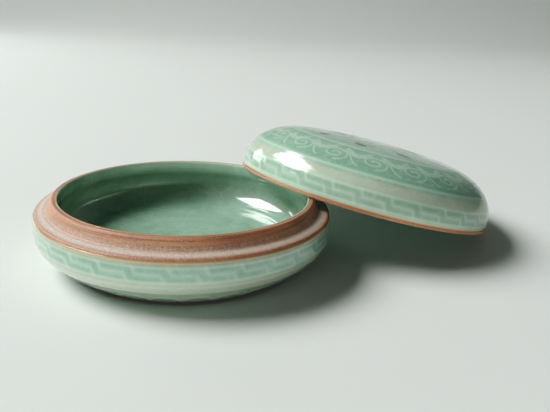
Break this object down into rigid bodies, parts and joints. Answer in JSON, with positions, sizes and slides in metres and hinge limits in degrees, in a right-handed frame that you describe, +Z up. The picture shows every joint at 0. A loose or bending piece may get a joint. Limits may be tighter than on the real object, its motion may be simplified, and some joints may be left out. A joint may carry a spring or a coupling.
{
  "type": "lidded ceramic box",
  "caption": "Low round covered ceramic box: a shallow bowl with a bare stepped rim and collar, and a domed lid taken off and leaning on it, with fret bands under green glaze.",
  "frame": {"origin": "centre of the bowl's foot ring, on the surface that it stands on", "axes": "+Z up along the bowl's axis; the lid leans to the +X +Y side, 32 degrees from +X towards +Y"},
  "size_m": [0.1581, 0.1347, 0.0384],
  "materials": {
    "bare_clay": "unglazed warm brown stoneware, fine speckle",
    "celadon_glaze": "glossy translucent grey-green glaze",
    "white_inlay": "white slip under the glaze",
    "black_inlay": "dark slip under the glaze"
  },
  "bodies": {
    "bowl": {"bowl_clay": "bare_clay", "bowl_outer_glaze": "celadon_glaze", "bowl_inner_glaze": "celadon_glaze", "bowl_base_glaze": "celadon_glaze", "bowl_border_inlay": "white_inlay"},
    "lid": {"lid_clay": "bare_clay", "lid_outer_glaze": "celadon_glaze", "lid_inner_glaze": "celadon_glaze", "lid_border_inlay": "white_inlay", "lid_leaf_inlay": "black_inlay"}
  },
  "joints": [
    {"name": "lid_lift", "type": "slide", "parent": "bowl", "child": "lid", "axis": [0, 0, 1], "range_m": [0, 0.06]}
  ]
}
